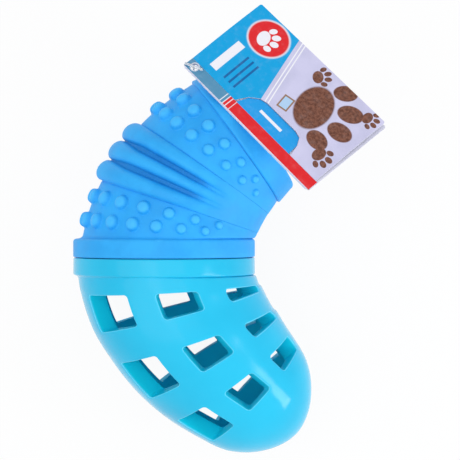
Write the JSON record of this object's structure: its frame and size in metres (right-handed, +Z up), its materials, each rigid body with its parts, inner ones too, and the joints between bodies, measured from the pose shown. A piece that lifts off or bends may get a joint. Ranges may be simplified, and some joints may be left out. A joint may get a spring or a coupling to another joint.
{
  "type": "dog toy",
  "caption": "Curved hollow chew toy: ribbed and nubbed rubber sleeve snapped on a hard plastic cage with windows, with a folded card hang tag on a plastic pin.",
  "frame": {"origin": "centre of the box round the whole toy in X and Y, at its lowest point in Z", "axes": "the toy lies on its side: +Z up, +Y from the tip of the cage towards the mouth of the sleeve, +X towards the inside of the bend"},
  "size_m": [0.1144, 0.1676, 0.0738],
  "materials": {
    "blue_rubber": "matte",
    "cyan_plastic": "gloss",
    "clear_nylon": "translucent",
    "white_card": "coated card",
    "red_print": "printed coated card",
    "blue_print": "printed coated card"
  },
  "bodies": {
    "sleeve": {"rubber_sleeve": "blue_rubber", "tag_pin_anchor": "clear_nylon"},
    "cage": {"cage_shell": "cyan_plastic"},
    "hang_tag": {"tag_back_leaf": "white_card", "tag_spine": "red_print", "tag_pin_head": "clear_nylon"},
    "tag_leaf": {"tag_front_leaf": "blue_print"}
  },
  "joints": [
    {"name": "cage_twist", "type": "hinge", "parent": "sleeve", "child": "cage", "pos_m": [-0.02295, -0.00972, 0.0342], "axis": [0, 1, 0], "continuous": true},
    {"name": "tag_swing", "type": "hinge", "parent": "sleeve", "child": "hang_tag", "pos_m": [-0.01125, 0.05868, 0.05368], "axis": [0, 0.3891, 0.9212], "range_deg": [-17, 150]},
    {"name": "leaf_fold", "type": "hinge", "parent": "hang_tag", "child": "tag_leaf", "pos_m": [-0.00945, 0.06059, 0.05412], "axis": [0.66, -0.6921, 0.2923], "range_deg": [-2.5, 100]}
  ]
}
